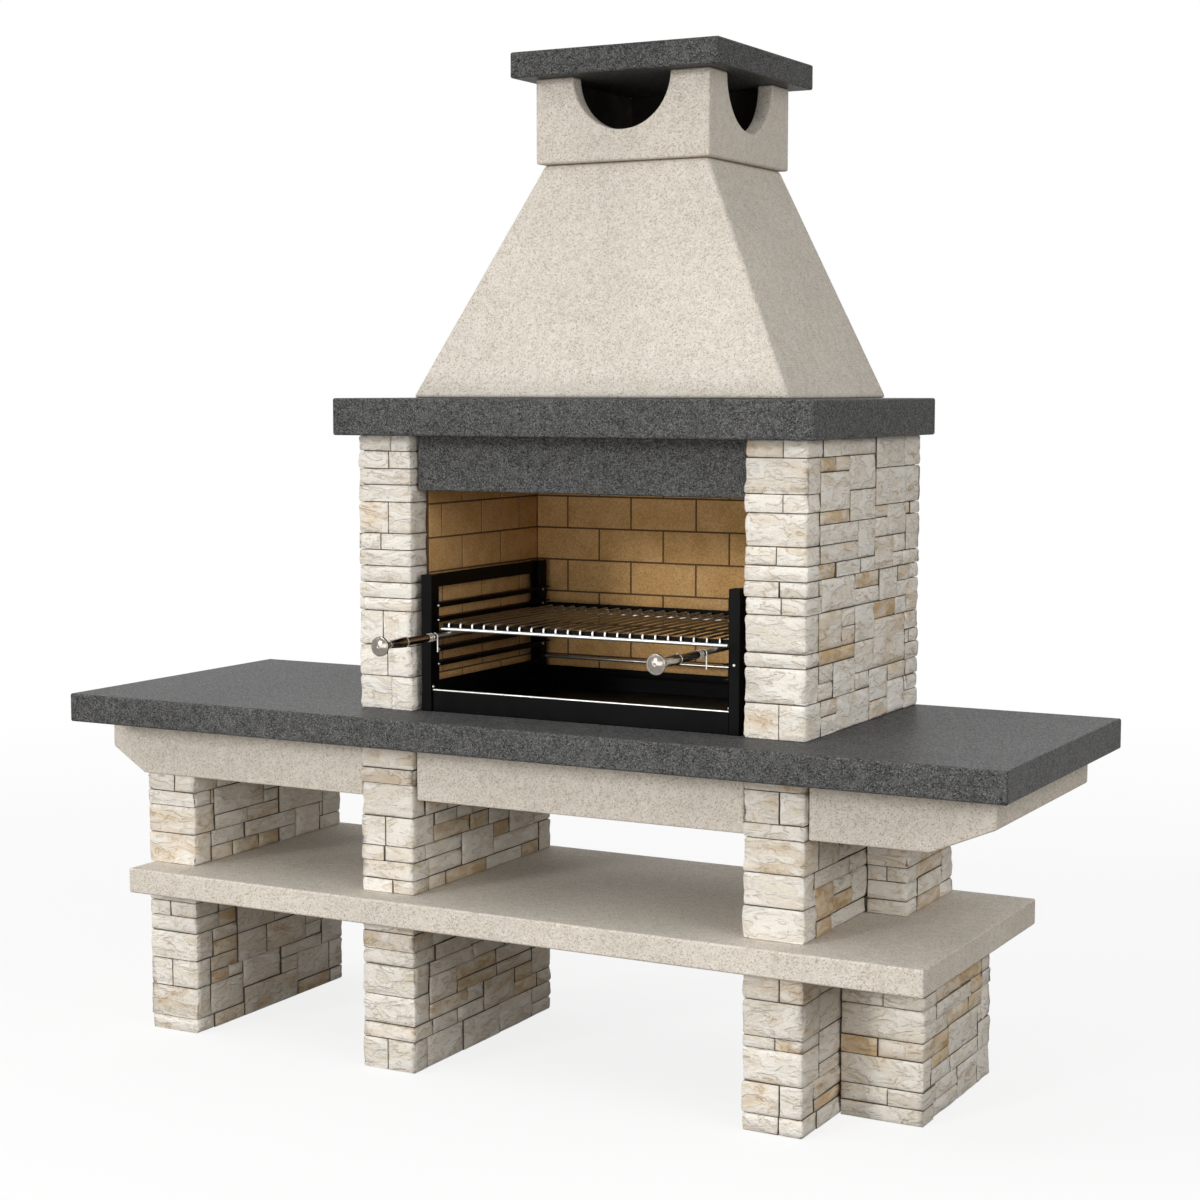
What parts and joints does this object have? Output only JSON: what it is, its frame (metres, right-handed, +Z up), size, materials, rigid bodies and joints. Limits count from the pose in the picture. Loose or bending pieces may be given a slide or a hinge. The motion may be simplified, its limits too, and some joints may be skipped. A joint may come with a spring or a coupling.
{
  "type": "masonry barbecue",
  "caption": "Masonry barbecue with stone legs, a long dark worktop and shelf, a brick-lined firebox with a sliding grill, and a tapered hood with a capped chimney.",
  "frame": {"origin": "on the floor, under the middle of the part's box", "axes": "+X to the right end of the worktop, +Y from the cook to the back, +Z up"},
  "size_m": [2.35, 0.96, 2.341],
  "materials": {
    "split_stone": "split-face cream stone with ochre stones",
    "dark_concrete": "anthracite concrete with fine light grains",
    "beige_concrete": "beige cast concrete with fine specks",
    "firebrick": "matt refractory brick",
    "black_steel": "black satin powder coat",
    "zinc_screw": "bright zinc plate",
    "stainless_rod": "bright drawn stainless steel",
    "polished_handle": "polished stainless steel"
  },
  "bodies": {
    "masonry": {"left_leg_lower": "split_stone", "left_leg_upper": "split_stone", "middle_leg_lower": "split_stone", "middle_leg_upper": "split_stone", "right_leg_lower": "split_stone", "right_leg_upper": "split_stone", "right_end_leg_lower": "split_stone", "right_end_leg_upper": "split_stone", "left_jamb": "split_stone", "left_side_wall": "split_stone", "right_jamb": "split_stone", "right_side_wall": "split_stone", "worktop_slab": "dark_concrete", "mantel_slab": "dark_concrete", "lintel": "dark_concrete", "chimney_cap": "dark_concrete", "shelf_slab": "beige_concrete", "rear_wall": "beige_concrete", "chimney_hood": "beige_concrete", "chimney_crown": "beige_concrete", "left_end_beam": "beige_concrete", "right_end_beam": "beige_concrete", "left_front_beam": "beige_concrete", "left_rear_beam": "beige_concrete", "centre_front_beam": "beige_concrete", "centre_rear_beam": "beige_concrete", "right_front_beam": "beige_concrete", "right_rear_beam": "beige_concrete", "left_brick_lining": "firebrick", "right_brick_lining": "firebrick", "rear_brick_lining": "firebrick", "left_front_post": "black_steel", "left_rear_post": "black_steel", "right_front_post": "black_steel", "right_rear_post": "black_steel", "left_top_rail": "black_steel", "left_grill_rails": "black_steel", "left_side_plate": "black_steel", "right_top_rail": "black_steel", "right_grill_rails": "black_steel", "right_side_plate": "black_steel", "front_plate": "black_steel", "rear_plate": "black_steel", "cradle_screws": "zinc_screw", "front_tie_rod": "stainless_rod", "rear_tie_rod": "stainless_rod"},
    "grill": {"grill_front_rod": "stainless_rod", "grill_rear_rod": "stainless_rod", "grill_wires": "stainless_rod", "left_side_bar": "stainless_rod", "right_side_bar": "stainless_rod", "left_handle_clip": "stainless_rod", "right_handle_clip": "stainless_rod", "grill_front_bar": "black_steel", "grill_rear_bar": "black_steel", "left_handle_sleeve": "polished_handle", "left_knob": "polished_handle", "right_handle_sleeve": "polished_handle", "right_knob": "polished_handle"},
    "ember_tray_body": {"ember_tray": "black_steel"}
  },
  "joints": [
    {"name": "grill_pull", "type": "slide", "parent": "masonry", "child": "grill", "axis": [0, -1, 0], "range_m": [0, 0.35]},
    {"name": "ember_tray_lift", "type": "slide", "parent": "masonry", "child": "ember_tray_body", "axis": [0, 0, 1], "range_m": [0, 0.1]}
  ]
}
